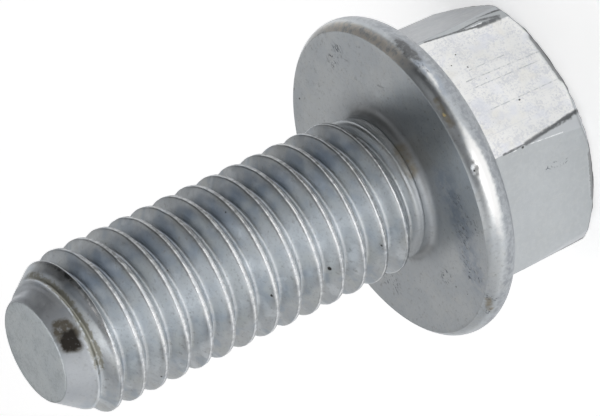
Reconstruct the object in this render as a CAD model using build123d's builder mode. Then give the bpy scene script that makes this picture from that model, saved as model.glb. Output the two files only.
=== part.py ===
from build123d import *

import math
import os

# A flange bolt with a right-handed metric coarse thread, in millimetres and degrees.
# It stands on its head: Z = 0 is the flat top of the hexagon, and +Z runs along the shank to the tip.

# Hexagon
across_flats = 11.91
head_height = 7.64  # from the top of the hexagon to the bearing face, flange included
hexagon_turn = 41.15  # about Z, from +X to the first corner
top_circle_radius = 5.97  # where the chamfer starts on the flat top
top_chamfer_angle = 37.7  # from the top face
corner_start_radius = 6.60  # how far the corners are filled at the top, short of a sharp hexagon
corner_cone_angle = 4.0  # how fast they fill out towards the flange

# Flange
flange_diameter = 16.18
flange_back_angle = 16.7  # slope of the conical back
rim_back_radius = 1.14
rim_depth = 0.76  # from the bearing face to the widest circle of the rim
bearing_diameter = 15.40  # where the bearing face ends in a crisp edge

# Shank
length_under_head = 20.12
neck_diameter = 7.10
neck_fillet_radius = 0.55
neck_land = 0.07  # plain neck between its fillet and the first trace of the root
end_face_radius = 2.51
tip_cone_angle = 34.75  # from the bolt's axis

# Thread, with the 60 degree metric profile
thread_diameter = 7.88
thread_pitch = 1.25
thread_angle = 60.0
thread_depth_ratio = 0.6134  # of the pitch
root_flat_ratio = 1 / 8  # of the pitch
first_root_height = 1.33  # from the bearing face to the first full root above +X
root_fade_length = 0.40  # from the first trace of the root to its full depth
crest_fade_delay = 0.33  # the crests start to rise out of the neck this much further up
crest_fade_length = 0.65
cutter_clearance = 0.15  # how far the cutting profile stands out past the crests
cone_overlap = 0.15  # how far the cone on which the root runs out goes on, inside the core

# Heights and radii that follow
bearing_z = head_height
rim_z = bearing_z - rim_depth
root_fade_z = bearing_z + neck_fillet_radius + neck_land
crest_fade_z = root_fade_z + crest_fade_delay
tip_z = bearing_z + length_under_head
neck_radius = neck_diameter / 2
thread_radius = thread_diameter / 2
thread_depth = thread_depth_ratio * thread_pitch
root_radius = thread_radius - thread_depth
root_fade_depth = neck_radius - root_radius
cone_end_radius = root_radius - cone_overlap
cone_end_z = root_fade_z + root_fade_length * (root_fade_depth + cone_overlap) / root_fade_depth
tip_cone_length = (thread_radius - end_face_radius) / math.tan(math.radians(tip_cone_angle))

# One turn of the groove's cutter. A row of them, one pitch apart, runs from inside the neck to past
# the tip.
turn_bottom_z = bearing_z + first_root_height - thread_pitch
turn_count = math.ceil((tip_z - turn_bottom_z) / thread_pitch) + 1
groove_half_flat = root_flat_ratio * thread_pitch / 2
groove_reach = thread_depth + cutter_clearance
groove_half_mouth = groove_half_flat + groove_reach * math.tan(math.radians(thread_angle / 2))

with BuildPart() as thread_turn:
    with BuildLine():
        turn_path = Helix(thread_pitch, thread_pitch, root_radius, center=(0, 0, turn_bottom_z))
    with BuildSketch(Plane(turn_path @ 0, x_dir=(1, 0, 0), z_dir=turn_path % 0)):
        with BuildLine():
            Polyline(
                (0, -groove_half_flat),
                (0, groove_half_flat),
                (groove_reach, groove_half_mouth),
                (groove_reach, -groove_half_mouth),
                close=True,
            )
        make_face()
    sweep(is_frenet=True)

# The shank starts inside the flange. Its crests rise out of the neck on a cone, and a point leads in.
with BuildPart() as threaded_shank:
    with BuildSketch(Plane.XZ):
        with BuildLine():
            Polyline(
                (0, rim_z),
                (neck_radius, rim_z),
                (neck_radius, crest_fade_z),
                (thread_radius, crest_fade_z + crest_fade_length),
                (thread_radius, tip_z - tip_cone_length),
                (end_face_radius, tip_z),
                (0, tip_z),
                close=True,
            )
        make_face()
    revolve(axis=Axis.Z)
    with Locations([(0, 0, turn * thread_pitch) for turn in range(turn_count)]):
        add(thread_turn.part, mode=Mode.SUBTRACT)

# The chamfer of the hexagon meets the cone that trims its corners at this radius and height.
chamfer_run = 1 / math.tan(math.radians(top_chamfer_angle))
corner_run = math.tan(math.radians(corner_cone_angle))
chamfer_end_z = (corner_start_radius - top_circle_radius) / (chamfer_run - corner_run)
chamfer_end_radius = top_circle_radius + chamfer_end_z * chamfer_run
corner_end_radius = corner_start_radius + bearing_z * corner_run

with BuildPart() as hexagon:
    with BuildSketch():
        RegularPolygon(across_flats / 2, 6, major_radius=False, rotation=hexagon_turn)
    extrude(amount=rim_z)
    with BuildSketch(Plane.XZ):
        with BuildLine():
            Polyline(
                (0, 0),
                (top_circle_radius, 0),
                (chamfer_end_radius, chamfer_end_z),
                (corner_end_radius, bearing_z),
                (0, bearing_z),
                close=True,
            )
        make_face()
    revolve(axis=Axis.Z, mode=Mode.INTERSECT)

# The rim is an arc that turns into the conical back, with its centre at the height of the widest
# circle. From there a short cone narrows to the edge of the bearing face.
flange_radius = flange_diameter / 2
back_turn = 90 - flange_back_angle
back_centre = (flange_radius - rim_back_radius, rim_z)

# The flange brings the neck with it, and the cone on which the root of the thread runs out.
with BuildPart() as flange_bolt:
    add(hexagon.part)
    with BuildSketch(Plane.XZ):
        with BuildLine():
            rim_back = CenterArc(back_centre, rim_back_radius, -back_turn, back_turn)
            axis_foot = (rim_back @ 0) - (rim_back % 0) * ((rim_back @ 0).X / (rim_back % 0).X)
            Line(axis_foot, rim_back @ 0)
            Polyline(
                rim_back @ 1,
                (bearing_diameter / 2, bearing_z),
                (neck_radius, bearing_z),
                (neck_radius, root_fade_z),
                (cone_end_radius, cone_end_z),
                (0, cone_end_z),
                axis_foot,
            )
        flange_profile = make_face()
        neck_corner = flange_profile.vertices().sort_by_distance((neck_radius, bearing_z))[0]
        fillet(neck_corner, neck_fillet_radius)
    revolve(axis=Axis.Z)
    add(threaded_shank.part)
flange_bolt.part.label = "flange_bolt"

os.makedirs("parts", exist_ok=True)
export_step(flange_bolt.part, "parts/flange_bolt.step")
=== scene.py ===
import math

import bmesh
import bpy
import numpy as np
from mathutils import Matrix, Vector


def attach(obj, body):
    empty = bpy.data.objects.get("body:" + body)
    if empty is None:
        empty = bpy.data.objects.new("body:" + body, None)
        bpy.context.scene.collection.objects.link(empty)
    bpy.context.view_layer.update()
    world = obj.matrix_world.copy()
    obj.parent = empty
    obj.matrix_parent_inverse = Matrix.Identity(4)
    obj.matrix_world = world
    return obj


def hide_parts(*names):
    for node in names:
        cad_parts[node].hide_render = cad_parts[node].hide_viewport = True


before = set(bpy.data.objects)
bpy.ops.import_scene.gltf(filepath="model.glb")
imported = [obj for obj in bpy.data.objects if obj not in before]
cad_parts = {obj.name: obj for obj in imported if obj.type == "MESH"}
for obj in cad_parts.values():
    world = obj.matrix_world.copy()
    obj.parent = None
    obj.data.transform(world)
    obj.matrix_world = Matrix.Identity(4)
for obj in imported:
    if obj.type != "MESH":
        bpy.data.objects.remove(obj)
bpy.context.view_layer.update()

# A zinc plated flange bolt, standing on its head: z = 0 is the flat top of the hexagon and the shank
# points up. Sizes are in millimetres and degrees until the mesh is written, in metres.

mm = 0.001

boltForm = {
    # hexagon
    "acrossFlats": 11.91,
    "firstFlat": 11.15,  # direction that the first flat faces, about z from +x
    "topCircle": 5.97,  # radius where the chamfer starts
    "chamferAngle": 37.7,
    # how far each corner fills out at the top and the cone by which it widens, from the first corner on
    "cornerStart": (6.72, 6.63, 6.6, 6.66, 6.62, 6.6),
    "cornerCone": (3.0, 4.0, 3.6, 4.2, 3.4, 4.0),
    # flange
    "bearingZ": 7.64,
    "rimZ": 6.88,  # height of the widest circle
    "rimRadius": 8.084,
    "backAngle": 16.7,
    "rimBackRound": 1.14,
    "rimFrontRound": 0.936,
    "rimEdgeRound": 0.06,
    # neck
    "neckRadius": 3.55,
    "neckFillet": 0.55,
    # thread
    "pitch": 1.25,
    "crestPhase": 0.3239,
    "crestRadius": 3.94,
    "rootRadius": 3.1733,
    "flankAngle": 30.0,
    "crestHalfFlat": 0.104,
    "rootFade": (8.26, 8.66),
    "crestFade": (8.59, 9.24),
    # point
    "tipZ": 27.76,
    "tipRadius": 2.51,
    "tipAngle": 34.75,
    "tipEdgeRound": 0.12,
    "ledgeDepth": 0.055,  # step on the point where the rolled thread begins
    "notchDepth": 0.1,  # and how much deeper it is in the middle
    "ledgeRise": (-0.35, 0.09),  # across the thread: where it starts, and over what width
    "ledgeFall": (0.3, 0.45),
    "ledgeStart": (26.25, 0.3),  # the same in height
    "ledgeBelow": 0.15,  # how far under the end face it ends
    "ledgeFade": 0.2,
    "ledgeMiddle": 79.0,  # direction where it is deepest
    "ledgeSpread": 55.0,
    "notchSpread": 16.0,
    # how wide each soft edge is
    "softFlats": 0.05,
    "softWedge": 0.03,
    "softChamfer": 0.09,
    "softTop": 0.12,
    "softBack": 0.26,
    "softCrest": 0.07,
    "softRoot": 0.19,
    "softPoint": 0.06,
    # seam that the rolling leaves along the crest
    "seamDepth": 0.026,
    "seamHalf": 0.03,
    "seamAt": -0.06,
    # unevenness
    "crestRipple": 0.01,
    "forgeRipple": 0.006,
    "forgeStart": (0.1, 0.8),
    "topRagged": 0.035,
}

# knocks: place, radius and depth in mm; a negative depth is a raised burr
knocks = (
    ((7.64, -2.34, 7.3), 0.13, 0.075),
    ((7.76, -2.14, 7.22), 0.08, -0.04),
    ((7.52, -2.58, 7.36), 0.1, 0.045),
    ((6.41, -2.28, 3.92), 0.13, 0.08),
    ((7.9, 0.5, 7.44), 0.14, -0.03),
    ((2.55, -7.5, 7.5), 0.22, 0.04),
)
knockForm = {
    "reach": 1.6,  # how far a knock is felt, as parts of its radius
    "edgeFrom": 7.0,  # above this height, on the flange's edge, a knock also pushes downwards
    "edgeDrop": 0.5,
}

meshGrid = {
    "headColumns": 504,
    "cornerCrowding": 0.35,
    "topRadii": ((9, (0.7, 1.6, 2.4)), (3, (3.2, 4.0, 4.7))),  # every how many columns, and the rings
    "topEdge": 5.3,
    "headRowCounts": (7, 9, 26, 13),  # chamfer's start, chamfer, side, back of the flange
    "headCrowding": ((0.0, 1.0), (0.4, 0.4), (1.0, 1.0), (1.0, 0.3)),
    "rimRowCounts": (13, 11, 5),  # back, front, edge of the bearing face
    "relaxRows": 25,  # over these rows the columns become evenly spaced
    "faceEdges": (0.12, 0.35),  # how far inside the face's edge its first two rings lie
    "faceRowCount": 10,
    "neckRowCount": 13,
    # rows of one turn of the thread, in mm from the middle of the crest towards the point
    "threadSteps": (-0.56, -0.5, -0.38, -0.24, -0.165, -0.13, -0.1, -0.07, -0.045, -0.02, 0.01, 0.045,
                    0.08, 0.11, 0.15, 0.24, 0.38, 0.5, 0.58),
    "threadFrom": 8.2,
    "threadTo": 26.9,
    "pointRowCounts": (13, 6),  # cone, edge
    "endRadii": (2.2, 1.9, 1.5, 1.1, 0.7, 0.35),
}


def softMin(a, b, k):
    h = np.maximum(k - np.abs(a - b), 0.0) / k
    return np.minimum(a, b) - h * h * k / 4


def softMax(a, b, k):
    return -softMin(-a, -b, k)


def grow(value, start, width):
    # 0 before start, then up to 1 over the width
    return np.clip((value - start) / width, 0, 1)


def fade(value, end, width, least=0):
    # down to the least at the end, over the width
    return np.clip((end - value) / width, least, 1)


def hump(value, middle, half):
    return np.exp(-((value - middle) / half) ** 2)


def follow(value, rows, column=1):
    # a column of the rows, read between them
    table = np.array(rows)
    return np.interp(value, table[:, 0], table[:, column])


def steps(first, last, count, crowdStart=0.0, crowdEnd=0.0):
    # count positions from first up to, not including, last; crowding squeezes them towards an end
    t = np.arange(count) / count
    t = t - crowdStart * np.sin(math.pi * t) * (1 - t) * 0.6 + crowdEnd * np.sin(math.pi * t) * t * 0.6
    return first + (last - first) * t


def ripple(x, y, z, length, seed, waves=10):
    # smooth unevenness between about -1 and 1, with bumps about as long as length
    dice = np.random.default_rng(seed)
    total = 0.0
    for _ in range(waves):
        way = dice.normal(size=3)
        way *= dice.uniform(0.7, 1.5) * 2 * math.pi / (length * np.linalg.norm(way))
        total = total + np.sin(way[0] * x + way[1] * y + way[2] * z + dice.uniform(0, 2 * math.pi))
    return total / math.sqrt(waves)


def headAngles():
    perCorner = meshGrid["headColumns"] // 6
    t = (np.arange(perCorner) - perCorner / 2) / (perCorner / 2)
    c = meshGrid["cornerCrowding"]
    one = 30.0 * (c * t + (1 - c) * t ** 3)
    firstCorner = boltForm["firstFlat"] + 30.0
    return np.radians(np.concatenate([firstCorner + 60.0 * k + one for k in range(6)]))


def flatOffset(theta):
    # angle from the direction of the nearest flat, -30 to 30 degrees
    turned = theta - math.radians(boltForm["firstFlat"])
    sixth = math.pi / 3
    return (turned + sixth / 2) % sixth - sixth / 2


def cornerShape(theta):
    # the nearest corner's fill at the top, and its cone in radians
    turned = theta - math.radians(boltForm["firstFlat"])
    k = np.floor(turned / (math.pi / 3)).astype(int) % 6
    return np.array(boltForm["cornerStart"])[k], np.radians(np.array(boltForm["cornerCone"]))[k]


def hexagonField(r, z, theta):
    f = boltForm
    x, y = r * np.cos(theta), r * np.sin(theta)
    off = np.abs(flatOffset(theta))
    apothem = f["acrossFlats"] / 2
    near = r * np.cos(off) - apothem
    far = r * np.cos(math.pi / 3 - off) - apothem
    field = softMax(near, far, f["softFlats"])
    start, tilt = cornerShape(theta)
    wedge = (r - start - z * np.tan(tilt)) * np.cos(tilt)
    field = softMax(field, wedge, f["softWedge"])
    slope = math.radians(f["chamferAngle"])
    ragged = f["topRagged"] * ripple(x, y, z, 0.55, 31)
    chamfer = (r - f["topCircle"]) * math.sin(slope) - z * math.cos(slope) + ragged * 0.5
    field = softMax(field, chamfer, f["softChamfer"])
    field = softMax(field, -z, f["softTop"] * (1.25 + 0.5 * ripple(x, y, z, 0.8, 32)))
    wavy = ripple(x, y, z, 3.0, 33) + 0.4 * ripple(x, y, z, 0.9, 34) + 2.0
    return field + f["forgeRipple"] * wavy * grow(z, *f["forgeStart"])


def backPoint():
    # where the back cone runs into the rim's arc
    f = boltForm
    slope = math.radians(f["backAngle"])
    centre = f["rimRadius"] - f["rimBackRound"]
    return centre + f["rimBackRound"] * math.sin(slope), f["rimZ"] - f["rimBackRound"] * math.cos(slope)


def headField(r, z, theta):
    slope = math.radians(boltForm["backAngle"])
    footR, footZ = backPoint()
    back = (r - footR) * math.sin(slope) - (z - footZ) * math.cos(slope)
    return softMin(hexagonField(r, z, theta), back, boltForm["softBack"])


def settle(r, z, theta, rounds=12):
    # moves points along the field's slope, each in its own half plane, until they lie on the surface
    d = 1e-4
    for _ in range(rounds):
        value = headField(r, z, theta)
        gradR = (headField(r + d, z, theta) - headField(r - d, z, theta)) / (2 * d)
        gradZ = (headField(r, z + d, theta) - headField(r, z - d, theta)) / (2 * d)
        size = gradR ** 2 + gradZ ** 2 + 1e-9
        r = r - value * gradR / size
        z = z - value * gradZ / size
    return r, z


def headRows(theta):
    # rows of (r, z), each an array over the columns, from the top's edge over the side to the flange
    f = boltForm
    off = flatOffset(theta)
    side = f["acrossFlats"] / 2 / np.cos(off)
    cornerStart, tilt = cornerShape(theta)
    tilt = np.tan(tilt)
    chamfer = math.tan(math.radians(f["chamferAngle"]))
    footR, footZ = backPoint()
    back = math.tan(math.radians(f["backAngle"]))
    topR = np.minimum(f["topCircle"], side - 0.06)
    wedgeStart = cornerStart + tilt * 0.4
    shoulderR = np.minimum(side, wedgeStart)
    shoulderZ = np.maximum((shoulderR - f["topCircle"]) * chamfer, 0.06)
    bottomZ = footZ - (footR - side) * back
    zeros = np.zeros_like(side)
    turns = [(zeros + meshGrid["topEdge"], zeros), (topR, zeros), (shoulderR, shoulderZ), (side, bottomZ),
             (zeros + footR, zeros + footZ)]
    rows = []
    for k, count in enumerate(meshGrid["headRowCounts"]):
        (r0, z0), (r1, z1) = turns[k], turns[k + 1]
        for t in steps(0.0, 1.0, count, *meshGrid["headCrowding"][k]):
            r = r0 + (r1 - r0) * t
            z = z0 + (z1 - z0) * t
            if k == 2:  # down the side the corner cone may stand inside the flat's plane
                r = np.minimum(side, cornerStart + tilt * z)
            r, z = settle(r, z, theta)
            rows.append((r, np.maximum(z, 0.0)))
    return rows


def arc(r, z, radius, first, last, count):
    # points round a centre in the plane of (r, z)
    return [(r + radius * math.cos(a), z + radius * math.sin(a)) for a in np.linspace(first, last, count)]


def rimRows():
    f = boltForm
    slope = math.radians(f["backAngle"])
    backCount, frontCount, edgeCount = meshGrid["rimRowCounts"]
    back = f["rimBackRound"]
    rows = arc(f["rimRadius"] - back, f["rimZ"], back, slope - math.pi / 2, 0, backCount)[:-1]
    # the front bulges to the crisp edge of the bearing face
    big, small = f["rimFrontRound"], f["rimEdgeRound"]
    centreR = f["rimRadius"] - big
    edgeZ = f["bearingZ"] - f["rimZ"] - small
    edgeTurn = math.asin(edgeZ / (big - small))
    edgeR = centreR + (big - small) * math.cos(edgeTurn)
    rows += arc(centreR, f["rimZ"], big, 0, edgeTurn, frontCount)[:-1]
    return rows + arc(edgeR, f["rimZ"] + edgeZ, small, edgeTurn, math.pi / 2, edgeCount)


def neckCurve(count):
    # a quarter turn whose bend starts and ends gently, from (0, 0) to (1, 1)
    fine = 400
    t = np.linspace(0, 1, fine + 1)
    turn = math.pi / 2 * t * t * (3 - 2 * t)
    middle = (turn[1:] + turn[:-1]) / 2
    across, up = [np.concatenate([[0.0], np.cumsum(part(middle))]) for part in (np.cos, np.sin)]
    pick = np.round(np.linspace(0, fine, count)).astype(int)
    return [(across[i] / across[-1], up[i] / up[-1]) for i in pick]


def crestOffset(theta, z):
    # which turn of the thread is nearest, and how far its crest's middle is, towards the point
    phase = z / boltForm["pitch"] + boltForm["crestPhase"] - theta / (2 * math.pi)
    turn = np.round(phase)
    return turn, (phase - turn) * boltForm["pitch"]


def threadRadius(theta, z):
    # radius of the rolled thread at an angle and a height, before the point is cut
    f = boltForm
    turn, w = crestOffset(theta, z)
    along = (turn + theta / (2 * math.pi)) * 2 * math.pi * f["crestRadius"]
    lip = f["crestRipple"] * (ripple(along, 0, 0, 0.9, 41) + 0.6 * ripple(along, w * 3, 0, 0.35, 42))
    flank = f["crestRadius"] - (np.abs(w) - f["crestHalfFlat"]) / math.tan(math.radians(f["flankAngle"]))
    seam = f["seamDepth"] * hump(w, f["seamAt"], f["seamHalf"])
    z0, z1 = f["crestFade"]
    rise = grow(z, z0, z1 - z0)
    full = np.clip(rise * 2 - 0.6, 0, 1)
    crest = f["neckRadius"] + (f["crestRadius"] - f["neckRadius"]) * rise
    crest = crest - full * (seam + np.maximum(0.0, lip))
    z0, z1 = f["rootFade"]
    root = f["neckRadius"] - (f["neckRadius"] - f["rootRadius"]) * grow(z, z0, z1 - z0)
    body = softMin(flank, crest, f["softCrest"])
    return softMax(body, root, f["softRoot"])


def pointRadius(theta, z):
    f = boltForm
    cone = f["tipRadius"] + (f["tipZ"] - z) * math.tan(math.radians(f["tipAngle"]))
    w = crestOffset(theta, z)[1]
    rise = grow(w, *f["ledgeRise"])
    fall = fade(w, *f["ledgeFall"])
    place = grow(z, *f["ledgeStart"]) * fade(z, f["tipZ"] - f["ledgeBelow"], f["ledgeFade"])
    away = (np.degrees(theta) - f["ledgeMiddle"] + 180.0) % 360.0 - 180.0
    ledge = rise * rise * (3 - 2 * rise) * fall * place
    depth = f["ledgeDepth"] * hump(away, 0, f["ledgeSpread"])
    return cone - ledge * (depth + f["notchDepth"] * hump(away, 0, f["notchSpread"]))


def shankRadius(theta, z):
    return softMin(threadRadius(theta, z), pointRadius(theta, z), boltForm["softPoint"])


def newObject(name, data):
    made = bpy.data.objects.new(name, data)
    bpy.context.scene.collection.objects.link(made)
    return made


class Skin:
    # gathers points and faces of the bolt, row by row
    def __init__(self):
        self.points = []
        self.faces = []
        self.count = 0
        self.last = None

    def ring(self, r, z, theta):
        xyz = np.stack([r * np.cos(theta), r * np.sin(theta), z * np.ones_like(theta)], 1)
        self.points.append(xyz)
        ids = np.arange(self.count, self.count + len(xyz))
        self.count += len(xyz)
        return ids

    def join(self, a, b):
        for a0, a1, b0, b1 in zip(a, np.roll(a, -1), b, np.roll(b, -1)):
            self.faces.append((a0, a1, b1, b0))

    def joinThird(self, fine, coarse, fineFirst):
        # three columns of the fine ring meet one of the coarse ring
        n = len(coarse)
        for i in range(n):
            j = (i + 1) % n
            f0, f1, f2, f3 = fine[3 * i], fine[3 * i + 1], fine[3 * i + 2], fine[(3 * i + 3) % len(fine)]
            group = [(f0, f1, coarse[i]), (f1, f2, coarse[j], coarse[i]), (f2, f3, coarse[j])]
            if not fineFirst:
                group = [tuple(reversed(g)) for g in group]
            self.faces.extend(group)

    def add(self, r, z, theta):
        # a ring joined to the last one, which has as many columns, three times as many or a third
        last, ring = self.last, self.ring(r, z, theta)
        self.last = ring
        if last is None:
            self.cap(ring, z, True)
        elif len(last) == len(ring):
            self.join(last, ring)
        elif len(last) < len(ring):
            self.joinThird(ring, last, False)
        else:
            self.joinThird(last, ring, True)

    def cap(self, ids, z, down):
        self.points.append(np.array([[0.0, 0.0, z]]))
        centre = self.count
        self.count += 1
        for a, b in zip(ids, np.roll(ids, -1)):
            self.faces.append((centre, b, a) if down else (centre, a, b))


def buildSkin():
    f = boltForm
    g = meshGrid
    skin = Skin()
    fineAngles = headAngles()
    # flat top: 56, then 168, then 504 columns
    for every, radii in g["topRadii"]:
        for r in radii:
            skin.add(r, 0.0, fineAngles[::every])
    rows = headRows(fineAngles) + rimRows()
    evenAngles = fineAngles[0] + np.arange(len(fineAngles)) * 2 * math.pi / len(fineAngles)
    relaxFrom = len(rows) - g["relaxRows"]
    for i, (r, z) in enumerate(rows):
        w = grow(i, relaxFrom, g["relaxRows"] - 1)
        skin.add(r, z, fineAngles * (1 - w) + evenAngles * w)
    # bearing face, on a third of the columns
    edge = rows[-1][0]
    skin.add(edge - g["faceEdges"][0], f["bearingZ"], evenAngles)
    angles = evenAngles[::3]
    filletR = f["neckRadius"] + f["neckFillet"]
    for r in np.linspace(edge - g["faceEdges"][1], filletR, g["faceRowCount"])[:-1]:
        skin.add(r, f["bearingZ"], angles)
    for across, up in neckCurve(g["neckRowCount"]):
        skin.add(filletR - f["neckFillet"] * across, f["bearingZ"] + f["neckFillet"] * up, angles)
    # thread: rows that climb one pitch a turn
    start, end = g["threadFrom"], g["threadTo"]
    offsets = g["threadSteps"]
    perTurn = len(offsets)
    turns = (angles - angles[0]) / (2 * math.pi)
    startTurn = angles[0] / (2 * math.pi)
    firstCrest = math.floor(start / f["pitch"]) - 2
    lastCrest = math.ceil(end / f["pitch"]) + 2
    rowHeights = [(n - f["crestPhase"] + startTurn) * f["pitch"] + w
                  for n in range(firstCrest, lastCrest + 1) for w in offsets]
    low = skin.ring(threadRadius(angles, start), start, angles)
    skin.join(skin.last, low)
    high = skin.ring(shankRadius(angles, end), end, angles)
    ids = []
    for h in rowHeights:
        z = h + turns * f["pitch"]
        inside = (z > start + 1e-4) & (z < end - 1e-4)
        row = np.where(z <= start + 1e-4, low, high)
        if inside.any():
            row[inside] = skin.ring(shankRadius(angles[inside], z[inside]), z[inside], angles[inside])
        ids.append(row)
    ids = [low] + ids + [high]
    n = len(angles)

    def startOf(i):
        return ids[i][0] if i < len(ids) else high[0]

    for i in range(len(ids) - 1):
        for j in range(n):
            if j < n - 1:
                quad = (ids[i][j], ids[i][j + 1], ids[i + 1][j + 1], ids[i + 1][j])
            else:
                # the row one turn up starts where this one ends
                a = low[0] if i == 0 else startOf(i + perTurn)
                b = startOf(i + 1 + perTurn)
                quad = (ids[i][j], a, b, ids[i + 1][j])
            face = tuple(dict.fromkeys(quad))
            if len(face) > 2:
                skin.faces.append(face)
    skin.last = high
    # point and end face
    edgeR, edgeZ = f["tipRadius"], f["tipZ"]
    tilt = math.radians(f["tipAngle"])
    edgeRound = f["tipEdgeRound"]
    tangent = edgeRound * math.tan((math.pi / 2 - tilt) / 2)
    coneEnd = edgeZ - tangent * math.cos(tilt)
    coneCount, edgeCount = g["pointRowCounts"]
    tipRows = [(shankRadius(angles, z), z) for z in np.linspace(end, coneEnd, coneCount)[1:-1]]
    tipRows += arc(edgeR - tangent, edgeZ - edgeRound, edgeRound, tilt, math.pi / 2, edgeCount)
    for r, z in tipRows + [(r, edgeZ) for r in g["endRadii"]]:
        skin.add(r, z, angles)
    skin.cap(skin.last, edgeZ, False)
    return skin


def knockPoints(points):
    # pushes the points round each knock along the line from the bolt's middle
    f = knockForm
    for place, radius, depth in knocks:
        place = np.array(place)
        away = np.linalg.norm(points - place, axis=1)
        near = np.clip(1 - (away / (radius * f["reach"])) ** 2, 0, 1) ** 2
        middle = np.array([0.0, 0.0, place[2] - f["edgeDrop"] * (place[2] > f["edgeFrom"])])
        way = (place - middle) / np.linalg.norm(place - middle)
        points -= near[:, None] * depth * way
    return points


def makeBolt():
    skin = buildSkin()
    points = np.concatenate(skin.points)
    zones = surfaceZones(points)
    points = knockPoints(points) * mm
    mesh = bpy.data.meshes.new("flangeBolt")
    mesh.from_pydata(points.tolist(), [], [tuple(int(v) for v in face) for face in skin.faces])
    for name, values in zones.items():
        mesh.attributes.new(name, "FLOAT", "POINT").data.foreach_set("value", values.astype(np.float32))
    bm = bmesh.new()
    bm.from_mesh(mesh)
    openEdges = [e for e in bm.edges if len(e.link_faces) != 2]
    bmesh.ops.recalc_face_normals(bm, faces=bm.faces)
    print("bolt mesh:", len(bm.verts), "points,", len(bm.faces), "faces,", len(openEdges), "open edges,",
          sum(len(p.verts) - 2 for p in bm.faces), "triangles, volume mm3", round(bm.calc_volume() * 1e9, 2))
    bm.to_mesh(mesh)
    bm.free()
    for p in mesh.polygons:
        p.use_smooth = True
    return newObject("flange_bolt_finish", mesh)


zincFinish = {
    "plate": (0.612, 0.638, 0.655),  # clean bright zinc
    "plateCool": (0.525, 0.562, 0.598),  # where the bluish passive film is thicker
    "plateWarm": (0.642, 0.652, 0.64),
    "threadCool": (0.45, 0.51, 0.575),
    "threadWarm": (0.625, 0.648, 0.645),
    "threadPale": (0.735, 0.77, 0.8),
    # painted shade for the upper side of the thread
    "threadShade": (0.268, 0.308, 0.368),
    "grain": (0.4, 0.42, 0.44),
    "film": (0.33, 0.38, 0.46),
    "rim": (0.32, 0.338, 0.365),
    "rimShade": (0.15, 0.155, 0.16),
    "rimPale": (0.84, 0.8, 0.74),
    "shine": (0.96, 0.96, 0.95),
    "rimDirt": (0.185, 0.185, 0.15),
    "crest": (0.97, 0.97, 0.97),  # rubbed bright, and a painted highlight where the crests catch the light
    "crestGrey": (0.13, 0.135, 0.14),
    "seam": (0.36, 0.37, 0.38),
    "neck": (0.41, 0.43, 0.455),
    "residue": (0.3, 0.29, 0.235),
    "frost": (0.99, 0.99, 0.98),  # crystals on the flats of the hexagon, near white: painted light on the flat that faces the light
    "frostGrey": (0.79, 0.8, 0.83),
    "frostWarm": (0.95, 0.93, 0.88),
    "frostCool": (0.86, 0.88, 0.95),
    "side": (0.448, 0.468, 0.48),  # the flats that are not frosted
    # painted shade for the upper flat
    "sideShade": (0.278, 0.29, 0.315),
    "brim": (0.27, 0.275, 0.28),
    "facetShade": (0.13, 0.135, 0.14),
    "facet": (0.54, 0.56, 0.58),
    "edgeHighlight": (0.92, 0.93, 0.94),
    "line": (0.5, 0.52, 0.54),
    "scuff": (0.17, 0.185, 0.21),
    "pit": (0.04, 0.038, 0.036),
    "conePale": (0.66, 0.69, 0.74),
    "end": (0.37, 0.41, 0.42),
    "stain": (0.29, 0.245, 0.165),
    "gold": (0.8, 0.66, 0.34),
    "soot": (0.03, 0.025, 0.02),
    "sootBrown": (0.135, 0.115, 0.08),
    "smudgeAndShade": (0.21, 0.21, 0.205),
    # how much of a layer is put on
    "handledAmount": 0.65,
    "neckAmount": 0.42,
    "residueAmount": 0.85,
    "speckAmount": 0.75,
    "sideAmount": 0.9,
    "endAmount": 0.45,
    "coneAmount": 0.45,
    "pitAmount": 0.8,
    "neckShadeStrokeAmount": 0.45,
    "scuffAmount": 0.95,
    # how matt a mark is beside the darkest ones
    "brownMatt": 0.6,
    "stainMatt": 0.4,
    "grainHeight": 0.002,  # in mm, as are the other heights
    "pebbleHeight": 0.005,
    "frostHeight": 0.0035,
    "cutDepth": 0.012,
    "scuffCut": 0.5,  # how deep a scuff is beside a scratch or a pit
}

# added to the roughness of the plating
zincRoughness = {
    "crest": -0.12,
    "root": 0.1,
    "neck": 0.16,
    "frost": 0.1,
    "facet": 0.08,
    "end": 0.06,
    "cone": 0.15,
    "rimPale": 0.22,
    "rimSoft": 0.16,
    "mark": 0.25,
}
# how strongly a pattern frays the edge of a zone, or another pattern
zincFray = {
    "rimShade": 1.2,
    "shine": 0.5,
    "residue": 1.6,
    "crystals": 0.55,
    "frost": 1.0,
    "shade": 0.6,
    "brim": 0.9,
    "rimDirt": 1.5,
}

# patterns in the plating: bumps per mm, detail, roughness
zincNoise = {
    "cloud": (0.45, 3.0, 0.55),
    "cloudMid": (1.0, 3.0, 0.5),
    "cloudSmall": (2.1, 4.0, 0.62),
    "grain": (7.0, 4.0, 0.6),
    "mottle": (4.0, 3.0, 0.6),
    "tint": (0.8, 2.0, 0.55),
    "dashes": (4.2, 3.0, 0.6),
    "crystal": (9.0, 5.0, 0.72),
    "patch": (1.4, 3.0, 0.55),
    "hue": (0.9, 2.0, 0.55),
    "streak": (1.0, 3.0, 0.55),
    "scrape": (1.0, 4.0, 0.65),
    "scrawl": (1.0, 3.0, 0.6),
    "pebble": (2.6, 2.0, 0.55),
}
# how these are squeezed along x, y and z, so that they run in streaks
zincSqueeze = {"streak": (6.0, 6.0, 0.45), "scrape": (5.0, 1.6, 1.0), "scrawl": (9.0, 4.0, 9.0)}
# how far places are shifted to fray a pattern or a mark: bumps per mm, mm
zincShift = {
    "uneven": (2.0, 0.3),
    "slight": (9.0, 0.05),
    "tint": (1.2, 0.5),
    "scrape": (1.5, 0.4),
    "soot": (4.5, 0.16),
}
# scattered dots: cells per mm, outer and inner size, and which of the cells have one
zincDots = {"speck": (2.4, (0.08, 0.04), (0.62, 0.7)), "pit": (0.85, (0.045, 0.026), (0.6, 0.66))}
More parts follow.
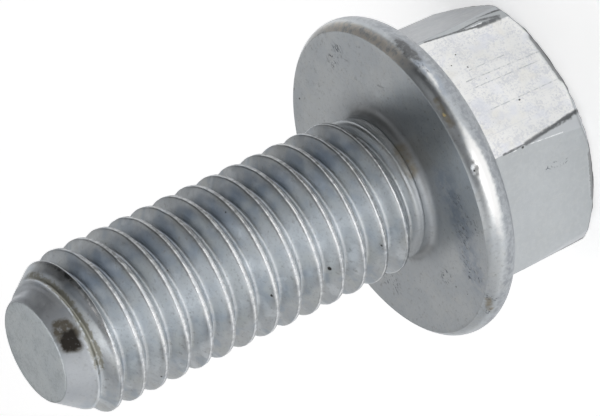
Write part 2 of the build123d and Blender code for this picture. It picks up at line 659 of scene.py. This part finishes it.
# how a pattern becomes a mask: where the mask starts, where it is full, its least, its most
zincMasks = {
    "plateCool": (0.4, 0.62, 0.0, 0.65),
    "plateWarm": (0.48, 0.72, 0.0, 0.5),
    "roughness": (0.3, 0.7, 0.3, 0.4),
    "threadCool": (0.52, 0.36, 0.0, 0.7),
    "threadWarm": (0.52, 0.64, 0.0, 0.7),
    "threadPale": (0.46, 0.34, 0.0, 0.7),
    "threadShade": (0.66, 0.4, 0.45, 0.95),
    "film": (0.62, 0.4, 0.25, 0.75),
    "rim": (0.62, 0.4, 0.5, 0.95),
    "rimShade": (0.15, 0.8),
    "shadeEdge": (0.05, 0.4),
    "grain": (0.5, 0.72, 0.0, 0.4),
    "mottle": (0.58, 0.75, 0.0, 0.4),
    "shine": (0.15, 0.75),
    "shineEdge": (0.02, 0.2),
    "seam": (0.62, 0.42, 0.25, 0.85),
    "crestGrey": (0.66, 0.4, 0.6, 1.0),
    "crest": (0.4, 0.56, 0.15, 1.0),
    "residue": (0.55, 0.95),
    "crystals": (0.38, 0.54),
    "frostHue": (0.5, 0.7, 0.0, 0.6),
    "frost": (0.3, 0.52),
    "streak": (0.6, 0.72, 0.0, 0.55),
    "sideCool": (0.4, 0.7, 0.0, 0.26),
    "sideWarm": (0.46, 0.66, 0.0, 0.22),
    "shade": (0.62, 0.9),
    "brim": (0.4, 0.7, 0.0, 0.85),
    "shadedEdge": (0.7, 0.46, 0.5, 0.85),
    "highlightEdge": (0.36, 0.52, 0.3, 1.0),
    "scrape": (0.55, 0.72, 0.0, 0.55),
    "endFrost": (0.52, 0.34, 0.0, 0.42),
    "rimDirt": (0.42, 0.92, 0.0, 0.6),
    "rimPale": (0.64, 0.44, 0.25, 0.9),
    "scratch": (0.4, 0.56, 0.1, 0.8),
    "stain": (0.34, 0.58, 0.3, 0.75),
    "scrawl": (0.53, 0.64),
    "brown": (0.32, 0.5, 0.45, 0.92),
    "soot": (0.3, 0.42, 0.75, 1.0),
    "metal": (0.0, 1.0, 1.0, 0.35),
}

# marks on the plating: where they end and where they are full, as parts of their size, then the place or
# the two ends of each, and its size in mm
pits = (1.1, 0.6), (
    ((5.43, 3.23, 4.03), 0.045), ((5.51, 2.83, 4.55), 0.042), ((6.09, -0.11, 2.64), 0.05),
    ((6.41, -2.3, 3.92), 0.1), ((2.01, -2.75, 13.57), 0.125), ((2.56, -2.79, 17.12), 0.08),
    ((0.96, -3.7, 23.26), 0.06), ((2.45, -2.91, 10.85), 0.07), ((-3.69, 6.15, 7.64), 0.055),
    ((2.61, -7.47, 7.51), 0.07), ((7.55, -2.44, 7.36), 0.055), ((7.63, -2.42, 7.28), 0.04),
    ((-5.9, -2.4, 3.1), 0.07), ((-1.2, -5.9, 2.2), 0.06), ((-6.3, -1.9, 7.64), 0.06),
    ((1.9, 5.8, 4.2), 0.055), ((0.72, -5.95, 7.64), 0.045), ((1.35, -6.6, 7.64), 0.035),
)
stains = (1.25, 0.35), (
    ((3.52, 0.57, 8.06), (3.52, -0.49, 8.13), 0.42), ((7.86, 1.25, 7.36), (7.93, -0.1, 7.42), 0.2),
    ((1.95, -7.76, 7.28), (2.6, -7.4, 7.46), 0.2), ((-3.4, 1.2, 8.1), (-2.6, 2.5, 8.1), 0.3),
)
soot = (1.25, 0.45), (
    ((2.68, -0.58, 27.4), (2.62, -0.84, 27.42), 0.24), ((2.96, -0.42, 27.04), (2.88, -0.96, 27.02), 0.24),
    ((2.82, -0.44, 27.22), (2.76, -0.94, 27.2), 0.3),
)
sootPale = (1.2, 0.35), (
    ((2.74, 0.3, 27.38), (2.98, 0.12, 27.04), 0.26), ((2.68, -0.02, 27.48), (3.02, -0.14, 27.0), 0.32),
    ((2.7, -0.4, 27.42), (3.0, -0.44, 26.94), 0.38), ((2.62, -0.8, 27.44), (2.84, -1.02, 27.06), 0.34),
)
# painted shade: soft dark strokes round the neck
neckShadeStrokes = (1.3, 0.0), (
    ((0.52, 3.7, 7.86), (2.2, 3.05, 7.9), 0.55), ((2.2, 3.05, 7.9), (3.36, 1.6, 7.95), 0.55),
    ((3.4, 1.5, 7.95), (3.66, 0.1, 8.0), 0.5), ((-3.3, 1.6, 7.9), (-2.4, 2.8, 7.9), 0.45),
    ((-1.5, -3.5, 7.9), (0.6, -3.75, 7.9), 0.4),
)
# bluish darker patches: a thicker film, and on the bearing face beside the shank also painted shade and
# painted reflection of the shank
filmAndShadePatches = (1.15, 0.2), (
    ((4.9, -1.9, 7.64), (4.3, -4.0, 7.64), 1.25), ((4.1, -4.2, 7.64), (2.9, -6.2, 7.64), 1.15),
    ((7.35, 3.35, 6.95), (7.6, 2.75, 6.88), 0.4), ((7.93, 1.5, 6.85), (7.8, 2.2, 6.8), 0.35),
    ((-4.9, 3.4, 7.64), (-5.6, 1.2, 7.64), 1.0),
)
# clusters of short dark scratches
scuffs = (1.4, 0.6), (
    ((5.22, -2.94, 7.64), (5.0, -3.1, 7.64), 0.38), ((5.26, -4.42, 7.64), (5.05, -4.1, 7.64), 0.42),
    ((4.1, -4.2, 7.64), (3.3, -4.75, 7.64), 0.48), ((2.78, -5.3, 7.64), (2.9, -5.75, 7.64), 0.32),
    ((2.43, -5.93, 7.64), (3.2, -6.33, 7.64), 0.28), ((0.15, -5.24, 7.64), (0.5, -5.3, 7.64), 0.34),
    ((2.78, -7.3, 7.54), (2.66, -7.54, 7.28), 0.2), ((1.6, -7.82, 7.33), (1.94, -7.75, 7.33), 0.14),
    ((7.41, 3.24, 6.92), (7.55, 2.85, 6.9), 0.26), ((5.06, -3.49, 1.58), (5.1, -3.44, 2.6), 0.16),
    ((-4.6, -3.9, 7.64), (-5.1, -3.2, 7.64), 0.4), ((1.1, 6.2, 7.64), (2.3, 6.4, 7.64), 0.35),
)
goldSpots = (1.1, 0.5), (
    ((7.91, 0.47, 7.44), 0.1),
)
# faint lines drawn along the flats and over the bearing face
scratches = (1.6, 0.6), (
    ((5.71, 1.8, 4.39), (5.75, 1.62, 0.3), 0.026), ((6.06, 0.06, 4.46), (6.07, 0.0, 0.27), 0.024),
    ((5.62, 2.25, 3.9), (5.63, 2.2, 1.8), 0.022), ((5.8, 1.36, 4.3), (5.83, 1.22, 0.5), 0.022),
    ((2.1, 6.1, 7.64), (2.65, 5.55, 7.64), 0.02), ((3.95, 3.75, 7.64), (4.4, 3.42, 7.64), 0.02),
    ((-5.2, 3.6, 7.64), (-4.4, 4.3, 7.64), 0.022), ((-5.8, 1.9, 1.0), (-5.8, 1.9, 3.8), 0.02),
)
# painted shade: dark edges where the corner facets meet the first flat, and painted highlight: the bright
# one across the next corner
shadedEdges = (1.7, 0.5), (
    ((5.19, 4.42, 5.01), (5.22, 4.22, 3.3), 0.034), ((5.22, 4.22, 3.3), (5.23, 4.26, 1.9), 0.03),
    ((5.23, 4.26, 1.9), (5.27, 4.05, 0.9), 0.055), ((5.22, 4.2, 3.25), (5.28, 4.0, 2.14), 0.045),
    ((5.28, 4.01, 2.14), (5.3, 3.94, 1.0), 0.105),
    ((6.5, -2.2, 5.05), (6.49, -2.18, 3.7), 0.05), ((6.49, -2.18, 3.7), (6.46, -1.99, 2.2), 0.1),
    ((6.46, -1.99, 2.2), (6.42, -1.8, 0.92), 0.06), ((6.47, -2.06, 2.7), (6.43, -2.05, 1.6), 0.06),
)
# painted highlight along edges
highlightEdges = (1.4, 0.6), (
    ((6.48, -2.29, 4.9), (6.47, -2.27, 3.7), 0.03), ((6.47, -2.27, 3.7), (6.27, -2.42, 1.6), 0.036),
    ((5.25, 4.14, 2.8), (5.26, 4.1, 1.9), 0.024),
    ((7.78, -2.16, 7.2), (7.7, -2.22, 7.29), 0.045),
)

# how much the crests are rubbed bright and carry a painted highlight: direction, amount
crestWearAndHighlight = ((-180, 0.4), (-80, 0.35), (-55, 0.45), (-40, 1.0), (0, 1.0), (14, 0.45), (35, 0.1),
             (60, 0.15), (90, 0.4), (180, 0.4))
# and how much painted shade darkens them, most on the upper side
crestShading = ((-180, 0.45), (-70, 0.5), (-50, 0.38), (-38, 0.0), (-3, 0.0), (8, 0.7), (20, 1.0), (34, 1.0),
             (44, 0.8), (56, 0.7), (80, 0.35), (100, 0.4), (180, 0.45))
# painted highlight along the rim: direction, height, half width, how much
rimHighlightPath = ((-70, 7.35, 0.3, 0.0), (-55, 7.15, 0.3, 0.0), (-45, 7.0, 0.3, 0.25), (-35, 7.0, 0.34, 0.65),
            (-25, 7.0, 0.34, 1.0), (-15, 7.0, 0.34, 1.0), (-6, 7.05, 0.22, 0.6), (3, 7.1, 0.13, 0.35),
            (10, 7.09, 0.11, 0.35), (15, 6.97, 0.14, 0.6), (20, 6.92, 0.14, 0.5), (24, 7.0, 0.14, 0.1),
            (28, 7.25, 0.14, 0.0))
# the zones on the hexagon, and what others need
headWear = {
    "belowRim": 0.7,  # the hexagon's zones end so far below the widest circle
    "facetEdge": 0.03,
    "facetLowest": 0.02,
    "leastHalfFacet": 0.02,
    "sideInner": 0.08,
    "sideOuter": 0.06,
    "frostAndLightOfFlat": (1.0, 0.0, 0.6, 0.7, 0.5, 0.1),  # how frosted each flat is, from the first on, which also paints light: brightest on the first flat
    # how far the frost of the first flat reaches towards the next corner: height, direction
    "frostEnd": ((0.8, 36.2), (1.5, 36.7), (2.14, 37.3), (2.72, 38.0), (3.3, 38.6), (4.15, 39.7),
                 (5.0, 40.5)),
    "frostFade": 0.35,
    "underHighlight": (0.1, 0.3),
    "residueTurn": 0.3,  # radians
}
# Each zone of wear, dirt, painted light or painted shade is a product: an earlier zone, or a start, an end
# or a middle of something. A start or an end comes with the width over which it fades, a middle with its
# half width, in mm, or in degrees for a direction. A name that starts with part only helps to describe the
# others.
wearZones = {
    "thread": ((grow, "aboveCrests", 0.2, 0.5), (grow, "r", 3.0, 0.1)),
    "partCrests": ("thread", (grow, "r", 3.6, 0.15)),
    "crest": ((hump, "across", 0.03, 0.045), "partCrests", (follow, "way", crestWearAndHighlight)),
    "crestGrey": ((hump, "across", -0.015, 0.115), "partCrests", (follow, "way", crestShading)),
    "seam": ((hump, "across", -0.085, 0.04), "partCrests"),
    "root": ((fade, "r", 3.45, 0.25), "thread", (fade, "z", 26.9, 0.3)),
    # painted shade: the upper side of the thread, darkest about 34 degrees round
    "film": ("thread", (hump, "way", 34, 24), (grow, "across", 0.12, 0.14), (fade, "z", 26.6, 1.0, 0.45)),
    # painted light: the thread paler on its lit side, about -22 degrees round
    "handled": ("thread", (hump, "way", -22, 26)),
    "partFirst": ((grow, "z", 25.5, 0.2), (fade, "z", 26.8, 0.15)),
    "residue": ((fade, "r", 3.55, 0.2), "partFirst", (grow, "facing", 0.1, 0.5)),
    # painted shade in the neck, where the shank meets the bearing face
    "neck": ((fade, "z", 8.75, 0.4), (grow, "z", 7.6, 0.03), (fade, "r", 5.0, 0.9)),
    "side": ("flats", (grow, "z", 0, 0.15), (grow, "z", 0.14, 0.1)),
    "frost": ("side", "litFrost"),
    "brim": ("head", (fade, "z", 0.25, 0.08), (grow, "r", 5.65, 0.1)),
    "partRim": ((grow, "r", 7.05, 0.3), (fade, "z", 7.62, 0.02)),
    "shine": ("partRim", "highlightBand", (follow, "way", rimHighlightPath, 3)),
    "rim": ("partRim", "underHighlight"),
    "rimShade": ((hump, "way", 31, 8), (hump, "z", 6.9, 0.32), (np.greater, "r", 7.0)),
    "rimSoft": ((np.greater, "r", 7.1), (np.less, "z", 7.62), (np.greater, "z", 6.0),
                (fade, "way", -40, 14), (grow, "way", -130, 20)),
    "rimPale": ((grow, "z", 7.15, 0.14), (np.less, "z", 7.63), (np.greater, "r", 7.2),
                (grow, "way", 22, 10), (fade, "way", 95, 30)),
    "rimDirt": ((grow, "z", 7.05, 0.14), (fade, "z", 7.6, 0.03), "rim",
                (grow, "way", -24, 12), (fade, "way", 32, 12)),
    "end": ((np.greater, "z", boltForm["tipZ"] - 0.03),),
    "cone": ((grow, "z", 26.55, 0.2), (np.less, "z", boltForm["tipZ"] - 0.03)),
}


def surfaceZones(points):
    # how much each point belongs to each of the zones
    f = boltForm
    g = headWear
    r = np.hypot(points[:, 0], points[:, 1])
    theta = np.arctan2(points[:, 1], points[:, 0])
    turned = np.degrees(theta)
    z = points[:, 2]
    # hexagon
    head = z < f["rimZ"] - g["belowRim"]
    off = np.abs(flatOffset(theta))
    apothem = f["acrossFlats"] / 2
    flat = r * np.cos(off) - apothem
    start, tilt = cornerShape(theta)
    reach = start + z * np.tan(tilt)
    facet = np.clip((r - reach - flat) / g["facetEdge"] + 0.5, 0, 1) * head * (z > g["facetLowest"])
    which = np.floor((turned - f["firstFlat"] + 30) / 60).astype(int) % 6
    # across each facet: 1 at its edge towards the even flat, -1 at the other
    halfWidth = math.pi / 6 - np.arccos(np.minimum(apothem / reach, 1.0))
    halfWidth = np.maximum(halfWidth, g["leastHalfFacet"])
    shade = (math.pi / 6 - off) / halfWidth * np.where(which % 2 == 0, 1, -1)
    flats = np.clip(1 + flat / g["sideInner"], 0, 1) * np.clip(2 - flat / g["sideOuter"], 0, 1)
    frostEnd = fade(turned, follow(z, g["frostEnd"]), g["frostFade"])
    highlightHeight = follow(turned, rimHighlightPath)
    gap, width = g["underHighlight"]
    known = {
        "r": r, "z": z, "way": turned, "head": head, "across": crestOffset(theta, z)[1],
        "aboveCrests": z - f["crestFade"][0], "facing": np.cos(theta - g["residueTurn"]),
        "flats": flats * (1 - facet) * head,
        "litFrost": np.array(g["frostAndLightOfFlat"])[which] * np.where(which == 0, frostEnd, 1.0),
        "highlightBand": hump(z, highlightHeight, follow(turned, rimHighlightPath, 2)),
        "underHighlight": fade(z, highlightHeight - gap, width),
    }
    zones = {"facet": facet, "shade": np.clip(shade, -1.5, 1.5) * 0.5 + 0.5, "dullSide": which == 1}
    for name, factors in wearZones.items():
        total = 1.0
        for factor in factors:
            if isinstance(factor, str):
                total = total * known[factor]
            else:
                shape, of, *limits = factor
                total = total * shape(known[of], *limits)
        known[name] = total
        if not name.startswith("part"):
            zones[name] = total
    return zones


def feed(tree, socket, value):
    # links the socket to a node's output, or sets its value
    if isinstance(value, bpy.types.NodeSocket):
        tree.links.new(value, socket)
    elif isinstance(value, tuple) and len(value) == 3 and socket.type == "RGBA":
        socket.default_value = value + (1,)
    else:
        socket.default_value = value


def addNode(tree, kind, inputs, **settings):
    node = tree.nodes.new("ShaderNode" + kind)
    for name, value in settings.items():
        setattr(node, name, value)
    for name, value in inputs.items():
        feed(tree, node.inputs[name], value)
    return node


def newMaterial(name):
    mat = bpy.data.materials.new(name)
    mat.use_nodes = True
    return mat


def setShader(mat, values):
    tree = mat.node_tree
    for name, value in values.items():
        feed(tree, tree.nodes["Principled BSDF"].inputs[name], value)


def makeZinc():
    look = zincFinish
    mat = newMaterial("zincPlate")
    tree = mat.node_tree

    def make(kind, inputs, **settings):
        return addNode(tree, kind, inputs, **settings).outputs

    def maths(kind, a, b=0.5, clamp=False):
        return make("Math", {0: a, 1: b}, operation=kind, use_clamp=clamp)[0]

    def times(a, b):
        return maths("MULTIPLY", a, b)

    def vector(kind, a, b):
        outputs = make("VectorMath", {0: a, 1: b}, operation=kind)
        return outputs["Value" if kind in ("DOT_PRODUCT", "DISTANCE") else "Vector"]

    def scaled(a, amount):
        return make("VectorMath", {0: a, "Scale": amount}, operation="SCALE")["Vector"]

    def ramp(value, low, high, first=0.0, last=1.0):
        limits = {"From Min": low, "From Max": high, "To Min": first, "To Max": last}
        return make("MapRange", {"Value": value} | limits, interpolation_type="SMOOTHSTEP")["Result"]

    def noise(where, scale, detail, roughness=0.55, output="Fac"):
        inputs = {"Vector": where, "Scale": scale, "Detail": detail, "Roughness": roughness}
        return make("TexNoise", inputs)[output]

    def blend(factor, a, b):
        return make("Mix", {0: factor, 6: a, 7: b}, data_type="RGBA")[2]

    def zone(name):
        return make("Attribute", {}, attribute_name=name)["Fac"]

    inMm = scaled(make("TexCoord", {})["Object"], 1 / mm)

    def shifted(name):
        scale, amount = zincShift[name]
        wobble = vector("SUBTRACT", noise(inMm, scale, 2.0, output="Color"), (0.5, 0.5, 0.5))
        return vector("ADD", inMm, scaled(wobble, amount))

    def pattern(name, where=inMm, output="Fac"):
        return noise(where, *zincNoise[name], output)

    def squeezed(name, where):
        return pattern(name, vector("MULTIPLY", where, zincSqueeze[name]))

    def mask(value, name):
        return ramp(value, *zincMasks[name])

    def fray(value, texture, name):
        return maths("ADD", value, times(maths("SUBTRACT", texture, 0.5), zincFray[name]))

    def edged(name, texture):
        # a zone whose edge is frayed by a pattern
        return mask(fray(zone(name), texture, name), name)

    def dots(where, name):
        # a dot in some of the cells of an irregular pattern
        scale, size, some = zincDots[name]
        cells = make("TexVoronoi", {"Vector": where, "Scale": scale})
        pick = make("SeparateColor", {0: cells["Color"]})
        return times(ramp(cells["Distance"], *size), ramp(pick[0], *some))

    uneven = shifted("uneven")
    slight = shifted("slight")

    def nearest(reaches, edges):
        best = reaches[0]
        for reach in reaches[1:]:
            best = maths("MINIMUM", best, reach)
        return ramp(best, *edges)

    def spots(where, marks):
        edges, each = marks
        return nearest([times(vector("DISTANCE", where, place), 1 / size) for place, size in each], edges)

    def strokeReach(where, first, last, width):
        first, last = Vector(first), Vector(last)
        run = last - first
        unit = run / run.length_squared
        along = maths("SUBTRACT", vector("DOT_PRODUCT", where, tuple(unit)), first.dot(unit), clamp=True)
        foot = vector("ADD", scaled(tuple(run), along), tuple(first))
        return times(vector("DISTANCE", where, foot), 1 / width)

    def strokes(where, marks):
        edges, each = marks
        return nearest([strokeReach(where, *mark) for mark in each], edges)

    # plating: faint clouds of cool and warm grey, stronger on the thread, and a fine grain
    cloud = pattern("cloud")
    cloudMid = pattern("cloudMid")
    cloudSmall = pattern("cloudSmall")
    grain = pattern("grain")
    mottle = pattern("mottle")
    color = blend(mask(cloud, "plateCool"), look["plate"], look["plateCool"])

    def paint(amount, name):
        # a layer of one colour over what is there
        nonlocal color
        color = blend(amount, color, look[name])

    def wear(where, texture, name):
        # the same on one zone, broken up by a pattern
        paint(times(zone(where), mask(texture, name)), name)

    paint(mask(cloudSmall, "plateWarm"), "plateWarm")
    tint = pattern("tint", shifted("tint"))
    wear("thread", cloudMid, "threadCool")
    wear("thread", tint, "threadWarm")
    # paler thread: a random pale tint, and painted light on the lit side
    pale = maths("ADD", mask(tint, "threadPale"), times(zone("handled"), look["handledAmount"]), clamp=True)
    paint(times(zone("thread"), pale), "threadPale")
    # painted shade on the upper side of the thread
    wear("film", cloudMid, "threadShade")
    # bluish patches, beside the shank partly painted shade and reflection
    paint(times(strokes(uneven, filmAndShadePatches), mask(cloudSmall, "film")), "film")
    # the rim under its painted highlight: mottled plating, darkened as painted shade
    wear("rim", mottle, "rim")
    paint(times(edged("rimShade", mottle), mask(zone("rimShade"), "shadeEdge")), "rimShade")
    paint(mask(grain, "grain"), "grain")
    paint(mask(mottle, "mottle"), "smudgeAndShade")
    # painted highlight on the rim
    paint(times(edged("shine", mottle), mask(zone("shine"), "shineEdge")), "shine")
    roughness = mask(cloudSmall, "roughness")

    def roughen(amount, name):
        nonlocal roughness
        roughness = maths("ADD", roughness, times(amount, zincRoughness[name]))

    # thread: rubbed bright with a painted highlight in dashes along the crests, beside the dark seam of the
    # rolling; painted shade round the neck and on the crests of the upper side
    roughen(zone("root"), "root")
    roughen(zone("neck"), "neck")
    # painted shade in the neck
    paint(times(zone("neck"), look["neckAmount"]), "neck")
    dashes = pattern("dashes")
    wear("seam", dashes, "seam")
    # painted shade on the crests of the upper side
    wear("crestGrey", dashes, "crestGrey")
    # wear and painted highlight on the crests
    rubbedAndLit = times(zone("crest"), mask(dashes, "crest"))
    paint(rubbedAndLit, "crest")
    paint(times(edged("residue", mottle), look["residueAmount"]), "residue")
    roughen(rubbedAndLit, "crest")

    # hexagon: frosted or plain flats, with painted light on the first flat and painted shade on the upper
    # one, and corner facets with painted shade along one edge
    crystal = pattern("crystal")
    frost = fray(crystal, pattern("patch"), "crystals")
    litFrost = blend(mask(frost, "crystals"), look["frostGrey"], look["frost"])
    hue = make("SeparateColor", {0: pattern("hue", output="Color")})
    litFrost = blend(mask(hue[0], "frostHue"), litFrost, look["frostWarm"])
    litFrost = blend(mask(hue[1], "frostHue"), litFrost, look["frostCool"])
    litFrost = blend(mask(squeezed("streak", slight), "streak"), litFrost, look["frostGrey"])
    litFrost = blend(times(dots(slight, "speck"), look["speckAmount"]), litFrost, look["scuff"])
    # painted shade: the upper flat, next to the first, darker
    sideTone = blend(zone("dullSide"), look["side"], look["sideShade"])
    sideTone = blend(mask(cloudSmall, "sideCool"), sideTone, look["plateCool"])
    sideTone = blend(mask(mottle, "sideWarm"), sideTone, look["plateWarm"])
    color = blend(times(zone("side"), look["sideAmount"]), color, sideTone)
    frostHere = times(edged("frost", crystal), zone("frost"))
    color = blend(frostHere, color, litFrost)
    roughen(frostHere, "frost")
    # painted shade on the corner facets, dark along one edge
    facetTone = blend(edged("shade", mottle), look["facet"], look["facetShade"])
    color = blend(zone("facet"), color, facetTone)
    roughen(zone("facet"), "facet")
    # painted shade along the top edge of the hexagon, where it stands on the floor
    paint(edged("brim", crystal), "brim")
    # painted shade along the facets' edges
    paint(times(strokes(slight, shadedEdges), mask(mottle, "shadedEdge")), "facetShade")
    # painted highlight along edges
    paint(times(strokes(slight, highlightEdges), mask(mottle, "highlightEdge")), "edgeHighlight")

    # sheared end: matt, crossed by darker scrapes
    scrape = mask(squeezed("scrape", shifted("scrape")), "scrape")
    paint(times(zone("end"), maths("MAXIMUM", scrape, mask(frost, "endFrost"))), "scuff")
    paint(times(zone("end"), look["endAmount"]), "end")
    roughen(zone("end"), "end")
    paint(times(zone("cone"), look["coneAmount"]), "conePale")
    roughen(zone("cone"), "cone")

    # dirt and painted shade on the rim's front, small pits all over, then the single marks
    paint(times(edged("rimDirt", mottle), zone("rimDirt")), "rimDirt")
    wear("rimPale", mottle, "rimPale")
    roughen(zone("rimPale"), "rimPale")
    roughen(zone("rimSoft"), "rimSoft")
    smallPits = dots(slight, "pit")
    pitted = maths("MAXIMUM", spots(slight, pits), times(smallPits, look["pitAmount"]))
    scratched = times(strokes(slight, scratches), mask(mottle, "scratch"))
    # painted shade round the neck
    paint(times(strokes(uneven, neckShadeStrokes), look["neckShadeStrokeAmount"]), "smudgeAndShade")
    stained = times(strokes(uneven, stains), mask(cloudSmall, "stain"))
    scrawl = mask(squeezed("scrawl", uneven), "scrawl")
    scuffed = times(strokes(uneven, scuffs), times(scrawl, look["scuffAmount"]))
    frayed = shifted("soot")
    brown = times(strokes(frayed, sootPale), mask(mottle, "brown"))
    sooty = strokes(frayed, soot)
    golden = spots(uneven, goldSpots)
    paint(stained, "stain")
    paint(golden, "gold")
    paint(scratched, "line")
    paint(scuffed, "scuff")
    paint(brown, "sootBrown")
    paint(times(sooty, mask(mottle, "soot")), "soot")
    paint(pitted, "pit")
    matt = maths("MAXIMUM", maths("MAXIMUM", sooty, pitted), times(brown, look["brownMatt"]))
    metal = mask(maths("MAXIMUM", matt, times(stained, look["stainMatt"])), "metal")
    roughen(matt, "mark")

    # heights: grain over soft pebbles, crystals on the flats, lines and pits cut in
    height = times(grain, look["grainHeight"])
    height = maths("ADD", height, times(pattern("pebble"), look["pebbleHeight"]))
    height = maths("ADD", height, times(times(crystal, frostHere), look["frostHeight"]))
    cut = maths("MAXIMUM", maths("MAXIMUM", scratched, pitted), times(scuffed, look["scuffCut"]))
    height = maths("SUBTRACT", height, times(cut, look["cutDepth"]))
    normal = make("Bump", {"Distance": mm, "Height": height})["Normal"]
    setShader(mat, {"Base Color": color, "Metallic": metal, "Roughness": roughness, "Normal": normal})
    print("zinc plate:", len(tree.nodes), "nodes")
    return mat


bolt = makeBolt()
bolt.data.materials.append(makeZinc())

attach(bolt, "root")
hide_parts("flange_bolt")

stageForm = {
    "floorSize": 3.0,
    "floorColor": (0.9, 0.9, 0.9),
    "floorRoughness": 0.9,
    "floorGlow": 0.572,  # the floor is a softly lit table
}


def makeFloor():
    mesh = bpy.data.meshes.new("floor")
    s = stageForm["floorSize"] / 2
    mesh.from_pydata([(-s, -s, 0), (s, -s, 0), (s, s, 0), (-s, s, 0)], [], [(0, 1, 2, 3)])
    floor = newObject("floor", mesh)
    mat = newMaterial("paleFloor")
    setShader(mat, {"Base Color": stageForm["floorColor"], "Roughness": stageForm["floorRoughness"],
                    "Emission Color": (1, 1, 1), "Emission Strength": stageForm["floorGlow"]})
    mesh.materials.append(mat)
    return floor


makeFloor()
print("floor:", stageForm["floorSize"], "m wide")

cameraForm = {
    "place": (265.1886, -42.8548, 144.1116),
    "forward": (-0.88599, 0.14567, -0.44023),
    "up": (0.3338, 0.85934, -0.38745),
    "lens": 383.44,
}


def makeCamera():
    data = bpy.data.cameras.new("camera")
    data.sensor_width = 36.0
    data.lens = cameraForm["lens"]
    data.clip_start = 0.01
    camera = newObject("camera", data)
    back = -Vector(cameraForm["forward"]).normalized()
    up = Vector(cameraForm["up"]).normalized()
    right = up.cross(back).normalized()
    up = back.cross(right)
    turn = Matrix((right, up, back)).transposed().to_4x4()
    camera.matrix_world = Matrix.Translation(Vector(cameraForm["place"]) * mm) @ turn
    bpy.context.scene.camera = camera


makeCamera()
print("camera:", cameraForm["lens"], "mm lens")

studioLight = {
    "color": (1.0, 1.0, 1.0),
    # soft boxes far away: azimuth, height, strength
    "far": (
        (135, 5, 0.3), (202, 5, 0.546), (292, 5, 0.315), (315, 5, 1.218), (338, 5, 1.564),
        (108, 24, 0.085), (156, 24, 0.471), (180, 24, 0.196), (252, 24, 0.545), (276, 24, 0.645),
        (300, 24, 0.401), (348, 24, 0.103), (0, 44, 0.145), (30, 44, 0.313), (60, 44, 0.097),
        (150, 44, 0.099), (210, 44, 0.197), (300, 44, 0.175), (330, 44, 0.068), (71, 64, 0.097),
        (277, 64, 0.906), (329, 64, 0.069),
    ),
    "farHalf": 24,  # half width of each in degrees
    "farCore": 0.35,  # part of it that has the full strength
    # soft boxes close by: place, aim, size in mm, watts
    "near": (
        ((-20, 40, 60), (-5, 12, 0), 40, 0.0016),
        ((-40, 0, 90), (-10, 0, 0), 50, 0.01267),
        ((-60, -60, 60), (0, -10, 0), 60, 0.00453),
        ((0, 0, 120), (0, 0, 0), 80, 0.00643),
    ),
}


def makeDome():
    world = bpy.data.worlds.new("studio")
    bpy.context.scene.world = world
    world.use_nodes = True
    tree = world.node_tree
    direction = addNode(tree, "TexCoord", {}).outputs["Generated"]
    edge = math.cos(math.radians(studioLight["farHalf"]))
    core = math.cos(math.radians(studioLight["farHalf"] * studioLight["farCore"]))
    total = None
    for azimuth, height, strength in studioLight["far"]:
        a, e = math.radians(azimuth), math.radians(height)
        way = (math.cos(e) * math.cos(a), math.cos(e) * math.sin(a), math.sin(e))
        facing = addNode(tree, "VectorMath", {0: direction, 1: way}, operation="DOT_PRODUCT")
        limits = {"Value": facing.outputs["Value"], "From Min": edge, "From Max": core, "To Max": strength}
        soft = addNode(tree, "MapRange", limits, interpolation_type="SMOOTHSTEP").outputs["Result"]
        parts = {0: soft, 1: studioLight["color"]} | ({} if total is None else {2: total})
        total = addNode(tree, "VectorMath", parts, operation="MULTIPLY_ADD").outputs["Vector"]
    tree.links.new(total, tree.nodes["Background"].inputs["Color"])


def makeSoftBoxes():
    for k, (place, aim, size, watts) in enumerate(studioLight["near"]):
        data = bpy.data.lights.new("softBox%d" % k, "AREA")
        data.shape = "DISK"
        data.size = size * mm
        data.energy = watts
        data.color = studioLight["color"]
        box = newObject("softBox%d" % k, data)
        box.location = Vector(place) * mm
        box.rotation_euler = (Vector(aim) - Vector(place)).to_track_quat("-Z", "Y").to_euler()
        box.visible_camera = False


makeDome()
makeSoftBoxes()
bpy.context.scene.view_settings.view_transform = "Standard"
print("lights:", len(studioLight["far"]), "far and", len(studioLight["near"]), "near")
